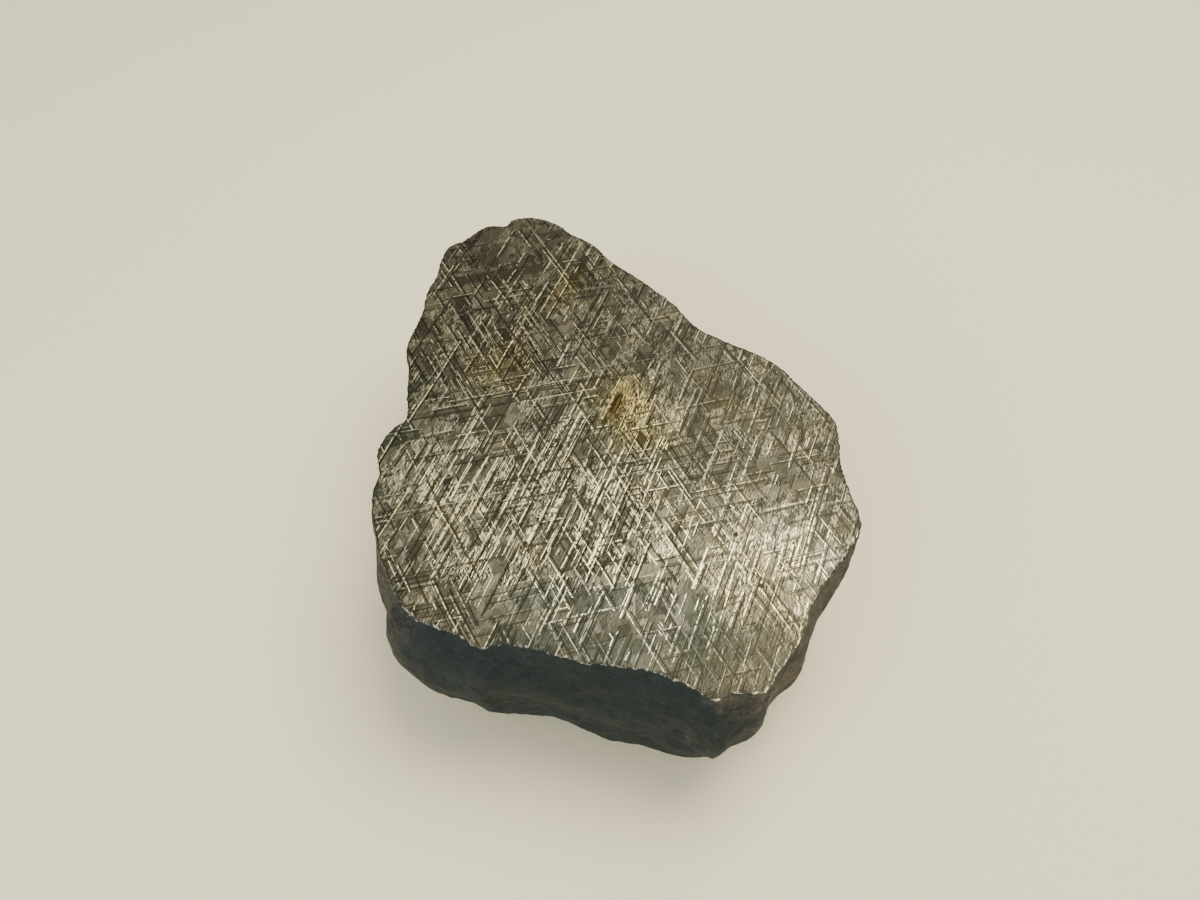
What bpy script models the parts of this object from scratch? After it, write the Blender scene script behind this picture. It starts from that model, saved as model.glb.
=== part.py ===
"""An iron meteorite with one flat, sawn and etched face, resting on a small flat spot of its crust.

Metres, +Z up, X to the right, -Y to the front. The etched face looks up and leans a little to the
front. The origin is the middle of the base of the whole lump's box.
"""

import math

import bpy
import numpy as np

MM = 0.001

# The sawn face: its lean, how high its middle is above the rest, and its outline, which starts at
# the right and goes round by the back, in millimetres from the middle of the face.
FACE_LEAN = math.radians(2.8)
FACE_HEIGHT = 73.5
FACE_OUTLINE = [
    (90.9, -36.0), (89.0, -24.5), (87.6, -13.0), (88.5, 3.3), (84.7, 12.1), (77.6, 22.0),
    (69.9, 32.8), (59.8, 40.1), (49.4, 45.8), (39.7, 52.8), (30.9, 65.4), (16.4, 80.4),
    (6.1, 89.7), (-1.8, 99.8), (-10.7, 105.8), (-16.0, 111.3), (-23.6, 115.3), (-31.1, 116.5),
    (-36.6, 114.6), (-39.0, 111.2), (-47.8, 110.0), (-56.1, 102.0), (-62.6, 97.0), (-65.0, 88.0),
    (-65.7, 80.2), (-68.8, 69.4), (-69.2, 59.0), (-73.1, 41.5), (-70.9, 30.2), (-70.4, 19.0),
    (-68.8, 6.4), (-73.6, 1.1), (-77.3, -8.4), (-75.5, -18.0), (-76.4, -28.1), (-72.7, -44.0),
    (-67.7, -56.7), (-62.8, -66.0), (-55.0, -74.0), (-42.1, -79.0), (-34.5, -83.6), (-28.4, -82.0),
    (-19.8, -83.1), (-9.7, -86.0), (-2.7, -87.7), (9.2, -89.0), (19.6, -90.9), (28.2, -94.3),
    (36.8, -99.2), (43.0, -97.2), (52.0, -97.0), (57.0, -90.9), (65.9, -78.7), (70.3, -67.7),
    (80.3, -54.5), (88.6, -43.5),
]

# The crust under the face, keyed by compass angle (0 is +X, 90 the back, 270 the front): how far it
# swells past the face, how deep its widest line lies, and how square it turns under (2 is round).
SWELL = [
    (0, 2.0), (50, 5.0), (90, 4.0), (130, 5.0), (170, 0.5), (204, 2.5), (218, 7.5), (231, 12.0),
    (246, 8.0), (262, 5.0), (276, 7.0), (290, 11.5), (303, 2.5), (314, 6.0), (327, 3.5),
]
WAIST = [(0, 20.0), (60, 26.0), (120, 22.0), (180, 18.0), (225, 26.0), (270, 32.0), (300, 32.0), (330, 20.0)]
SQUARE = [(0, 2.5), (60, 2.7), (120, 2.6), (180, 2.5), (225, 3.6), (260, 3.4), (285, 4.8), (310, 3.6), (335, 2.6)]
SMOOTHING = 0.062  # how far round, as a share of the loop, the lower crust evens out the outline

# The small flat spot that it rests on, as its middle from the middle of the face, and its radius
REST_AT = (0.5, -1.0)
REST_RADIUS = 27.0
UNDER_RISE = 0.07  # how fast the underside rises away from the flat spot

# Thumbprint hollows in the crust, small pits, and waves over all of it
HOLLOWS, HOLLOW_RADIUS, HOLLOW_DEPTH = 60, (9.0, 19.0), 0.15
PITS, PIT_RADIUS, PIT_DEPTH = 70, (3.0, 6.0), 0.18
WAVES = [(46.0, 1.5), (21.0, 0.7), (10.0, 0.25)]  # wavelength and height
CHIPS = 0.35  # how far the broken rim of the face wanders

# The dark slit where a sulphide nodule stood: its middle, direction, length, width and depth
SLIT_AT, SLIT_TURN, SLIT_SIZE = (8.2, 13.6), math.radians(68.7), (10.0, 2.6, 1.6)

AROUND, DOWN, ACROSS = 156, 24, 5  # steps round the lump, down the crust and across the face
SEED = 7


def closed_curve(points, count):
    """Catmull-Rom curve through the points, closed, read at even steps along its length."""
    p = np.array(points, float)
    t = np.linspace(0, 1, 24, endpoint=False)[:, None, None]
    a, b, c, d = np.roll(p, 1, 0), p, np.roll(p, -1, 0), np.roll(p, -2, 0)
    curve = 0.5 * (2 * b + (c - a) * t + (2 * a - 5 * b + 4 * c - d) * t**2 + (3 * b - a - 3 * c + d) * t**3)
    curve = curve.transpose(1, 0, 2).reshape(-1, 2)
    loop = np.vstack([curve, curve[:1]])
    length = np.concatenate([[0], np.cumsum(np.linalg.norm(np.diff(loop, axis=0), axis=1))])
    at = np.linspace(0, length[-1], count, endpoint=False)
    return np.stack([np.interp(at, length, loop[:, k]) for k in (0, 1)], 1)


def keyed(angles, keys):
    """Values at compass angles, eased by a smooth step from each key to the next."""
    at, value = np.array(keys, float).T
    at, value = np.append(at, at[0] + 360), np.append(value, value[0])
    i = np.searchsorted(at, angles % 360, side="right") - 1
    t = (angles % 360 - at[i]) / (at[i + 1] - at[i])
    return value[i] + (value[i + 1] - value[i]) * t * t * (3 - 2 * t)


def evened(loop, share):
    """The loop with each point moved to the bell-weighted mean of its neighbours."""
    bell = np.exp(-0.5 * (np.fft.fftfreq(len(loop)) / share) ** 2)
    return np.fft.ifft(np.fft.fft(loop, axis=0) * np.fft.fft(bell / bell.sum())[:, None], axis=0).real


def face_height(x, y):
    """Height of the sawn plane over a point."""
    return FACE_HEIGHT + y * math.tan(FACE_LEAN) + 0 * x


def wave(points, length, seed):
    """Smooth noise from -1 to 1: the mean of six plane waves of one length in seeded directions."""
    draw = np.random.default_rng(seed)
    way = draw.normal(size=(6, 3))
    way *= 2 * math.pi / length / np.linalg.norm(way, axis=1, keepdims=True)
    return np.sin(points @ way.T + draw.uniform(0, 2 * math.pi, 6)).mean(-1) * 1.7


def crust_grid():
    """Rings of points from the rim of the face down and under to the rim of the flat spot.

    Down to the widest line, each point swells out as a quarter sine. From there to the flat spot
    it follows a quarter of a superellipse, on an outline that gets smoother with depth.
    """
    rim = closed_curve(FACE_OUTLINE, AROUND)
    lower = evened(rim, SMOOTHING)
    angle = np.degrees(np.arctan2(rim[:, 1], rim[:, 0]))
    swell, waist, square = (keyed(angle, keys)[:, None] for keys in (SWELL, WAIST, SQUARE))
    v = np.linspace(0, 1, DOWN)[None, :]
    upper = np.clip(v / 0.25, 0, 1)
    turn = np.clip((v - 0.25) / 0.75, 0, 1) * math.pi / 2
    reach = (np.cos(turn) ** square + np.sin(turn) ** square) ** (-1 / square)
    out, drop = np.cos(turn) * reach, np.sin(turn) * reach

    even = (0.25 * upper + 0.75 * np.sin(turn))[..., None]
    plan = rim[:, None, :] * (1 - even) + lower[:, None, :] * even - np.array(REST_AT)
    away = np.linalg.norm(plan, axis=2)
    wide = away + swell * np.sin(upper * math.pi / 2)
    radius = REST_RADIUS + (wide - REST_RADIUS) * out
    xy = np.array(REST_AT) + plan / away[..., None] * radius[..., None]

    top = face_height(rim[:, 0], rim[:, 1])[:, None]
    z = (top - waist * upper) * (1 - drop) + UNDER_RISE * (radius - REST_RADIUS) * drop
    return np.concatenate([xy, z[..., None]], 2)


def outward(grid):
    """Unit normals of the grid, from its steps round and down."""
    round_step = np.roll(grid, -1, 0) - np.roll(grid, 1, 0)
    down_step = np.gradient(grid, axis=1)
    normal = np.cross(down_step, round_step)
    return normal / np.linalg.norm(normal, axis=2, keepdims=True)


def dents(grid, count, radii, depth, seed):
    """How deep a set of round hollows lies at each point: each is a bowl at a seeded grid point."""
    draw = np.random.default_rng(seed)
    deep = np.zeros(grid.shape[:2])
    for _ in range(count):
        middle = grid[int(draw.uniform(0, AROUND)), int(draw.uniform(0.1, 0.8) * DOWN)]
        radius = draw.uniform(*radii)
        near = np.clip(1 - ((grid - middle) ** 2).sum(2) / radius**2, 0, None)
        deep = np.maximum(deep, depth * radius * near**1.5)
    return deep


def weathered(grid):
    """The crust grid with its hollows, pits and waves, which fade out at both of its rims."""
    inner = np.linspace(0, 1, DOWN)[None, :]
    free = np.clip(inner / 0.12, 0, 1) * np.clip((1 - inner) / 0.18, 0, 1)
    move = sum(height * wave(grid, length, SEED + k) for k, (length, height) in enumerate(WAVES))
    move -= dents(grid, HOLLOWS, HOLLOW_RADIUS, HOLLOW_DEPTH, SEED + 10)
    move -= dents(grid, PITS, PIT_RADIUS, PIT_DEPTH, SEED + 20)
    grid = grid + outward(grid) * (move * free)[..., None]
    away = np.linalg.norm(grid[..., :2] - np.array(REST_AT), axis=2)
    grid[..., 2] = np.maximum(grid[..., 2], UNDER_RISE / 4 * (away - REST_RADIUS))
    return grid


def chipped(grid):
    """The grid with the points of its first ring moved in and out in the sawn plane, as if broken."""
    rim = grid[:, 0]
    step = CHIPS * (wave(rim, 7.0, SEED + 30) + wave(rim, 3.5, SEED + 31) - 0.6)
    rim[:, :2] += rim[:, :2] / np.linalg.norm(rim[:, :2], axis=1, keepdims=True) * step[:, None]
    rim[:, 2] = face_height(rim[:, 0], rim[:, 1])
    return grid


def flat_rings(rim, middle, shares):
    """Rings of points on a flat between its rim and its middle, at the given shares of the way."""
    return [middle + (rim - middle) * share for share in shares]


def lump_mesh():
    """One closed mesh: the face's rings, the crust grid and the flat spot's rings."""
    crust = chipped(weathered(crust_grid()))
    shares = np.linspace(1, 0, ACROSS)[1:-1]
    face_middle = np.array([0, 0, face_height(0, 0)])
    rest_middle = np.array([*REST_AT, 0])
    rings = flat_rings(crust[:, 0], face_middle, shares[::-1])
    rings += [crust[:, k] for k in range(DOWN)]
    rings += flat_rings(crust[:, -1], rest_middle, [0.5])
    points = np.vstack(rings + [face_middle[None], rest_middle[None]])
    low, high = points.min(0), points.max(0)
    points -= np.array([(low[0] + high[0]) / 2, (low[1] + high[1]) / 2, low[2]])

    step = np.arange(AROUND)
    after = (step + 1) % AROUND
    faces = []
    for k in range(len(rings) - 1):
        here, below = k * AROUND, (k + 1) * AROUND
        faces += np.stack([here + step, below + step, below + after, here + after], 1).tolist()
    top, bottom = len(rings) * AROUND, len(rings) * AROUND + 1
    last = (len(rings) - 1) * AROUND
    faces += np.stack([np.full(AROUND, top), step, after], 1).tolist()
    faces += np.stack([np.full(AROUND, bottom), last + after, last + step], 1).tolist()

    mesh = bpy.data.meshes.new("meteorite_slice")
    mesh.from_pydata((points * MM).tolist(), [], faces)
    mesh.validate()
    flat = len(shares) * AROUND
    for number, polygon in enumerate(mesh.polygons):
        on_face = number < flat or len(faces) - 2 * AROUND <= number < len(faces) - AROUND
        polygon.material_index = 0 if on_face else 1
    return mesh, points[top] - face_middle


def principled(name, colour, roughness, metallic):
    """A plain surface of one colour."""
    material = bpy.data.materials.new(name)
    material.use_nodes = True
    shader = material.node_tree.nodes["Principled BSDF"]
    shader.inputs["Base Color"].default_value = (*colour, 1)
    shader.inputs["Roughness"].default_value = roughness
    shader.inputs["Metallic"].default_value = metallic
    return material


def slit_cutter(shift):
    """A long thin lens that cuts the slit: a sphere drawn out along its length and set in the face."""
    bpy.ops.mesh.primitive_uv_sphere_add(segments=14, ring_count=8, radius=0.5)
    cutter = bpy.context.object
    cutter.name = "slit_cutter"
    x, y = SLIT_AT
    cutter.location = (np.array([x, y, face_height(x, y)]) + shift) * MM
    cutter.rotation_euler = (FACE_LEAN, 0, SLIT_TURN)
    length, width, depth = SLIT_SIZE
    cutter.scale = (length * MM, width * MM, 2 * depth * MM)
    cutter.hide_render = True
    cutter.display_type = "WIRE"
    return cutter


def main():
    for old in list(bpy.data.objects):
        bpy.data.objects.remove(old)
    mesh, shift = lump_mesh()
    lump = bpy.data.objects.new("meteorite_slice", mesh)
    bpy.context.collection.objects.link(lump)
    mesh.materials.append(principled("etched_iron", (0.20, 0.19, 0.14), 0.42, 0.8))
    mesh.materials.append(principled("weathered_crust", (0.035, 0.036, 0.034), 0.6, 0.3))
    mesh.shade_smooth()
    mesh.set_sharp_from_angle(angle=math.radians(40))
    cut = lump.modifiers.new("slit", "BOOLEAN")
    cut.operation = "DIFFERENCE"
    cut.object = slit_cutter(shift)


main()
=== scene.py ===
"""The iron meteorite dressed: its etched crystal pattern, rust and dark crust, on a pale floor.

The lump is one surface worked out with numpy, from the same outline and profiles as the solid, with
a finer rim, slit and crust. Lengths inside the shape functions are in millimetres.
"""

import math
from types import SimpleNamespace

import bpy
import numpy as np
from mathutils import Matrix, Vector


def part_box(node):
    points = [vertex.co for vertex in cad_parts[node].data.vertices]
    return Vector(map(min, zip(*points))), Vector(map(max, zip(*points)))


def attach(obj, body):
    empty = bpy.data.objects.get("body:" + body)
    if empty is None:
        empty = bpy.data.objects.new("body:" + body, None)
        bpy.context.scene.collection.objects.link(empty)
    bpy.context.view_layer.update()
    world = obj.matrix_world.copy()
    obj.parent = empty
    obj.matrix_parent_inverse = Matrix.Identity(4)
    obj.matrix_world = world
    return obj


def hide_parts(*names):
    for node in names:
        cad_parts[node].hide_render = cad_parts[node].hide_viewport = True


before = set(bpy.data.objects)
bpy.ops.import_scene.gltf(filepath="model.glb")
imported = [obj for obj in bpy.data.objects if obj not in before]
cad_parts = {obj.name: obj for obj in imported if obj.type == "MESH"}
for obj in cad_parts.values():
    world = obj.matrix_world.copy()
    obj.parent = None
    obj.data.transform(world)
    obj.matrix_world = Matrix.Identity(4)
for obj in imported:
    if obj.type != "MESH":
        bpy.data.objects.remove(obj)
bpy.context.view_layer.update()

MM = 0.001
LOW, HIGH = (np.array(corner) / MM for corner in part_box("meteorite_slice"))

# The sawn face: its lean, the height of its middle, and its outline round that middle
FACE_LEAN = math.radians(2.8)
FACE_HEIGHT = 73.5
FACE_OUTLINE = [
    (90.9, -36.0), (89.0, -24.5), (87.6, -13.0), (88.5, 3.3), (84.7, 12.1), (77.6, 22.0),
    (69.9, 32.8), (59.8, 40.1), (49.4, 45.8), (39.7, 52.8), (30.9, 65.4), (16.4, 80.4),
    (6.1, 89.7), (-1.8, 99.8), (-10.7, 105.8), (-16.0, 111.3), (-23.6, 115.3), (-31.1, 116.5),
    (-36.6, 114.6), (-39.0, 111.2), (-47.8, 110.0), (-56.1, 102.0), (-62.6, 97.0), (-65.0, 88.0),
    (-65.7, 80.2), (-68.8, 69.4), (-69.2, 59.0), (-73.1, 41.5), (-70.9, 30.2), (-70.4, 19.0),
    (-68.8, 6.4), (-73.6, 1.1), (-77.3, -8.4), (-75.5, -18.0), (-76.4, -28.1), (-72.7, -44.0),
    (-67.7, -56.7), (-62.8, -66.0), (-55.0, -74.0), (-42.1, -79.0), (-34.5, -83.6), (-28.4, -82.0),
    (-19.8, -83.1), (-9.7, -86.0), (-2.7, -87.7), (9.2, -89.0), (19.6, -90.9), (28.2, -94.3),
    (36.8, -99.2), (43.0, -97.2), (52.0, -97.0), (57.0, -90.9), (65.9, -78.7), (70.3, -67.7),
    (80.3, -54.5), (88.6, -43.5),
]

# The crust by compass angle: how far it swells past the face, how deep its widest line lies, and
# how square it turns under
SWELL = [
    (0, 2.0), (50, 5.0), (90, 4.0), (130, 5.0), (170, 0.5), (204, 2.5), (218, 7.5), (231, 12.0),
    (246, 8.0), (262, 5.0), (276, 7.0), (290, 11.5), (303, 2.5), (314, 6.0), (327, 3.5),
]
WAIST = [
    (0, 20.0), (60, 26.0), (120, 22.0), (180, 18.0), (225, 26.0), (270, 32.0), (300, 32.0), (330, 20.0),
]
SQUARE = [
    (0, 2.5), (60, 2.7), (120, 2.6), (180, 2.5), (225, 3.6), (260, 3.4), (285, 4.8), (310, 3.6),
    (335, 2.6),
]
SMOOTHING = 0.062  # share of the way round over which the outline evens out with depth
TO_WIDEST = 0.25  # share of the steps down the crust that lie above its widest line

# The flat spot that it rests on: its middle, its radius, and how steeply the crust rises round it
REST_AT = (0.5, -1.0)
REST_RADIUS = 27.0
UNDER_RISE = 0.07

# Hollows and pits by their number, radii and depth for each millimetre of radius, and waves by
# length and height. The fine ones are not in the solid
HOLLOWS, HOLLOW_RADIUS, HOLLOW_DEPTH = 60, (9.0, 19.0), 0.15
PITS, PIT_RADIUS, PIT_DEPTH = 70, (3.0, 6.0), 0.18
FINE_PITS, FINE_PIT_RADIUS, FINE_PIT_DEPTH = 420, (1.2, 3.0), 0.10
DENTED = (0.1, 0.8)  # where their middles lie, from the first to the last step down
WAVES = [(46.0, 1.5), (21.0, 0.7), (10.0, 0.25)]
FINE_WAVES = [(6.0, 0.16), (3.4, 0.12), (2.2, 0.07)]
COARSE_FADE, FINE_FADE, REST_FADE = 0.12, 0.03, 0.18  # shares of the way down where they fade

# The etched pattern: the directions of its three families of crystal bars, from +X towards +Y
LONG, STEEP, LEVEL = (math.radians(angle) for angle in (68.7, 119.3, 13.8))

# The broken rim: how far it is chipped back in the plane and worn down, by which waves, and how soon
# both die away
CHIPS, CHIP_WAVES, CHIP_SHIFT, CHIP_RINGS = 0.35, [(9.0, 0.4), (3.7, 0.6), (1.7, 0.8)], 0.8, 1.6
RIM_WEAR, WEAR_WAVES, WEAR_INWARD = 0.5, [(9.0, 1.0), (3.0, 0.7)], 90

# The slit: its middle, direction, length, width and depth, and its ragged edge as a wave
SLIT_AT, SLIT_TURN, SLIT_SIZE = (8.2, 13.6), LONG, (10.0, 2.6, 1.6)
SLIT_RAGGED = [(2.4, 0.25)]

# Steps along one piece of the outline's curve, round the lump and down its crust
CURVE_STEPS, AROUND, DOWN = 24, 600, 112
SEED = 7

# The lump's map: the face at the left, with the rest spot in its free corner, and the crust as a
# strip at the right
FACE_SPAN, FACE_MARGIN = 0.985, 0.0075
STRIP_ACROSS, STRIP_ALONG = (0.80, 0.19), (0.005, 0.99)  # each as its start and its width
REST_ON_MAP, REST_SPAN = (0.7, 0.93), 0.35
SHARP_ANGLE = math.radians(50)

# The camera, from the middle of the base: where it stands, how far it looks down, and its lens
CAMERA_AT = (-0.0046, -0.2199, 0.3338)
CAMERA_DOWN, CAMERA_ROLL = math.radians(51.6), math.radians(0.4)
FOCAL_PIXELS, FRAME_PIXELS, SENSOR = 932, 1200, 36.0

# The studio: floor, surround, and two square lights, each by place, side, power and colour
FLOOR_SIZE, FLOOR_DROP, FLOOR_COLOUR = 6, 0.0002, (0.94, 0.83, 0.54, 1)
SURROUND, SURROUND_STRENGTH = (0.95, 0.97, 1.0, 1), 0.75
LIGHTS = [
    ("key", (0.35, 0.25, 1.3), 0.8, 19, (1.0, 0.95, 0.86)),
    ("fill", (-0.7, -0.9, 0.8), 0.9, 9, (0.88, 0.95, 1.0)),
]
LIGHTS_AIM = (0, 0, 0.05)


def closed_curve(points, count):
    """A closed cubic curve through the points, read at even steps along its length.

    At each point it runs parallel to the line between the two neighbours.
    """
    p = np.array(points, float)
    t = np.linspace(0, 1, CURVE_STEPS, endpoint=False)[:, None, None]
    a, b, c, d = np.roll(p, 1, 0), p, np.roll(p, -1, 0), np.roll(p, -2, 0)
    square, cube = 2 * a - 5 * b + 4 * c - d, 3 * b - a - 3 * c + d
    curve = 0.5 * (2 * b + (c - a) * t + square * t**2 + cube * t**3)
    curve = curve.transpose(1, 0, 2).reshape(-1, 2)
    loop = np.vstack([curve, curve[:1]])
    length = np.concatenate([[0], np.cumsum(np.linalg.norm(np.diff(loop, axis=0), axis=1))])
    at = np.linspace(0, length[-1], count, endpoint=False)
    return np.stack([np.interp(at, length, loop[:, k]) for k in (0, 1)], 1)


def keyed(angles, keys):
    """Values at compass angles, eased by a smooth step from each key to the next."""
    at, value = np.array(keys, float).T
    at, value = np.append(at, at[0] + 360), np.append(value, value[0])
    i = np.searchsorted(at, angles % 360, side="right") - 1
    t = (angles % 360 - at[i]) / (at[i + 1] - at[i])
    return value[i] + (value[i + 1] - value[i]) * t * t * (3 - 2 * t)


def evened(loop, share):
    """The loop with each point moved to the bell-weighted mean of its neighbours."""
    bell = np.exp(-0.5 * (np.fft.fftfreq(len(loop)) / share) ** 2)
    return np.fft.ifft(np.fft.fft(loop, axis=0) * np.fft.fft(bell / bell.sum())[:, None], axis=0).real


def face_height(x, y):
    """Height of the sawn plane over a point: it rises with y by the tangent of its lean."""
    return FACE_HEIGHT + y * math.tan(FACE_LEAN) + 0 * x


def wave(points, length, seed):
    """Smooth noise of about -1 to 1: 1.7 times the mean of six sine waves in seeded directions."""
    draw = np.random.default_rng(seed)
    way = draw.normal(size=(6, 3))
    way *= 2 * math.pi / length / np.linalg.norm(way, axis=1, keepdims=True)
    return np.sin(points @ way.T + draw.uniform(0, 2 * math.pi, 6)).mean(-1) * 1.7


def waves(points, sizes, seed):
    """Smooth noise of several lengths, each times its own height, summed."""
    return sum(height * wave(points, length, seed + k) for k, (length, height) in enumerate(sizes))


def crust_grid():
    """Rings of points from the rim of the face down and under to the rim of the flat spot.

    Down to the widest line, each point swells out as a quarter sine. From there to the flat spot
    it follows a quarter of a superellipse, on an outline that gets smoother with depth.
    """
    rim = closed_curve(FACE_OUTLINE, AROUND)
    lower = evened(rim, SMOOTHING)
    angle = np.degrees(np.arctan2(rim[:, 1], rim[:, 0]))
    swell, waist, square = (keyed(angle, keys)[:, None] for keys in (SWELL, WAIST, SQUARE))
    v = np.linspace(0, 1, DOWN)[None, :]
    upper = np.clip(v / TO_WIDEST, 0, 1)
    turn = np.clip((v - TO_WIDEST) / (1 - TO_WIDEST), 0, 1) * math.pi / 2
    reach = (np.cos(turn) ** square + np.sin(turn) ** square) ** (-1 / square)
    out, drop = np.cos(turn) * reach, np.sin(turn) * reach

    even = (TO_WIDEST * upper + (1 - TO_WIDEST) * np.sin(turn))[..., None]
    plan = rim[:, None, :] * (1 - even) + lower[:, None, :] * even - np.array(REST_AT)
    away = np.linalg.norm(plan, axis=2)
    wide = away + swell * np.sin(upper * math.pi / 2)
    radius = REST_RADIUS + (wide - REST_RADIUS) * out
    xy = np.array(REST_AT) + plan / away[..., None] * radius[..., None]

    top = face_height(rim[:, 0], rim[:, 1])[:, None]
    z = (top - waist * upper) * (1 - drop) + UNDER_RISE * (radius - REST_RADIUS) * drop
    return np.concatenate([xy, z[..., None]], 2)


def outward(grid):
    """Unit normals of the grid, from its steps round and down."""
    round_step = np.roll(grid, -1, 0) - np.roll(grid, 1, 0)
    down_step = np.gradient(grid, axis=1)
    normal = np.cross(down_step, round_step)
    return normal / np.linalg.norm(normal, axis=2, keepdims=True)


def dents(grid, count, radii, depth, seed):
    """How deep a set of round hollows lies at each point, where the deepest one counts.

    Each is a bowl round a seeded grid point. Its depth is one less the square of the distance in
    radii, to the power 1.5, times the radius and the depth for each millimetre of radius.
    """
    draw = np.random.default_rng(seed)
    deep = np.zeros(grid.shape[:2])
    for _ in range(count):
        middle = grid[int(draw.uniform(0, AROUND)), int(draw.uniform(*DENTED) * DOWN)]
        radius = draw.uniform(*radii)
        near = np.clip(1 - ((grid - middle) ** 2).sum(2) / radius**2, 0, None)
        deep = np.maximum(deep, depth * radius * near**1.5)
    return deep


def shown_inside(fade):
    """A share for each ring: it rises from the rim of the face over a fade, and falls to the rest."""
    inner = np.linspace(0, 1, DOWN)[None, :]
    return np.clip(inner / fade, 0, 1) * np.clip((1 - inner) / REST_FADE, 0, 1)


def weathered(grid):
    """The crust grid moved along its normals by its waves, hollows and pits.

    The fine ones only go inwards. What goes lower than a shallow cone round the rest spot is lifted
    to it, so that the lump stands on that spot alone.
    """
    move = waves(grid, WAVES, SEED)
    move -= dents(grid, HOLLOWS, HOLLOW_RADIUS, HOLLOW_DEPTH, SEED + 10)
    move -= dents(grid, PITS, PIT_RADIUS, PIT_DEPTH, SEED + 20)
    fine = waves(grid, FINE_WAVES, SEED + 60) - sum(height for _, height in FINE_WAVES)
    fine -= dents(grid, FINE_PITS, FINE_PIT_RADIUS, FINE_PIT_DEPTH, SEED + 50)
    move = move * shown_inside(COARSE_FADE) + fine * shown_inside(FINE_FADE)
    grid = grid + outward(grid) * move[..., None]
    away = np.linalg.norm(grid[..., :2] - np.array(REST_AT), axis=2)
    grid[..., 2] = np.maximum(grid[..., 2], UNDER_RISE / 4 * (away - REST_RADIUS))
    return grid


def rim_drop(points):
    """How far the rim is worn down: a little all round, and more where noise is high and in front."""
    bite = np.clip(waves(points, WEAR_WAVES, SEED + 40) - 0.1, 0, 1)
    front = np.clip(-points[..., 1] / 80, 0.25, 1)
    return RIM_WEAR * (0.15 + bite * front)


def chipped(grid):
    """The grid with its first rings broken back: the rim wanders in the plane and drops a little.

    The wandering is noise, mostly inwards, and dies away as an exponential over a few rings.
    """
    rim = grid[:, 0].copy()
    step = CHIPS * (waves(rim, CHIP_WAVES, SEED + 30) - CHIP_SHIFT)
    way = rim[:, :2] / np.linalg.norm(rim[:, :2], axis=1, keepdims=True)
    fade = np.exp(-np.arange(DOWN) / CHIP_RINGS)[None, :, None]
    grid[..., :2] += (way * step[:, None])[:, None, :] * fade
    grid[:, 0, 2] = face_height(grid[:, 0, 0], grid[:, 0, 1]) - rim_drop(grid[:, 0])
    return grid


def slit_depth(x, y):
    """Depth of the slit: half an ellipsoid with a ragged edge, drawn out along the long bars."""
    length, width, depth = SLIT_SIZE
    dx, dy = x - SLIT_AT[0], y - SLIT_AT[1]
    along = dx * math.cos(SLIT_TURN) + dy * math.sin(SLIT_TURN)
    across = dy * math.cos(SLIT_TURN) - dx * math.sin(SLIT_TURN)
    spread = (2 * along / length) ** 2 + (2 * across / width) ** 2
    ragged = 1 + waves(np.stack([x, y, 0 * x], -1), SLIT_RAGGED, SEED + 45)
    return depth * np.sqrt(np.clip(1 - spread * ragged, 0, 1))


def face_rings(rim):
    """Rings on the sawn face: the rim drawn in to the slit, by shares that crowd at both ends.

    Each lies on the sawn plane, less the slit's depth and the rim's wear, which dies away inwards.
    """
    near_rim = 1 - np.array([0.004, 0.009, 0.016, 0.028, 0.05])
    wide = np.linspace(0.9, 0.14, 9)
    near_slit = np.linspace(0.11, 0.004, 19)
    shares = np.concatenate([near_rim, wide, near_slit])
    middle = np.array([*SLIT_AT, 0])
    flat_rim = rim * np.array([1, 1, 0])
    rings = middle + (flat_rim - middle)[None] * shares[:, None, None]
    worn = np.exp(-(1 - shares) * WEAR_INWARD)[:, None] * rim_drop(rim)[None]
    x, y = rings[..., 0], rings[..., 1]
    rings[..., 2] = face_height(x, y) - slit_depth(x, y) - worn
    centre = np.array([*SLIT_AT, face_height(*SLIT_AT) - SLIT_SIZE[2]])
    return rings, shares, centre


def rim_distance(rings, first):
    """How far each point lies from the rim, measured along its own line of points in and down."""
    steps = np.linalg.norm(np.diff(rings, axis=0), axis=2)
    run = np.vstack([np.zeros(rings.shape[1]), np.cumsum(steps, axis=0)])
    away = np.abs(run - run[first])
    return np.concatenate([away.ravel(), [away[0].mean(), away[-1].mean()]])


def strip_faces(count):
    """Quads between each ring and the next, as point numbers and as steps round and down."""
    step, level = np.meshgrid(np.arange(AROUND), np.arange(count - 1), indexing="ij")
    step, level = step.ravel(), level.ravel()
    around = np.stack([step, step, step + 1, step + 1], 1)
    down = np.stack([level, level + 1, level + 1, level], 1)
    return down * AROUND + around % AROUND, around, down


def lump_map(points, quads, around, down, inner, rest_ring):
    """The map at each quad's corners and at each point of the face and of the rest spot.

    The face and the rest spot are seen from above at their own scales. On the crust, one way is the
    step down and the other the step round.
    """
    span = FACE_SPAN / (HIGH[1] - LOW[1])
    face_map = (points[:, :2] - points[:, :2].min(0)) * span + FACE_MARGIN
    rest_map = (points[:, :2] - np.array(REST_AT)) * span * REST_SPAN + np.array(REST_ON_MAP)
    across = STRIP_ACROSS[0] + STRIP_ACROSS[1] * (down - inner) / DOWN
    along = STRIP_ALONG[0] + STRIP_ALONG[1] * around / AROUND
    on_face, on_rest = (down[:, :1] < inner)[..., None], (down[:, :1] >= rest_ring)[..., None]
    quad_map = np.where(on_face, face_map[quads], np.stack([across, along], 2))
    return np.where(on_rest, rest_map[quads], quad_map), face_map, rest_map


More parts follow.
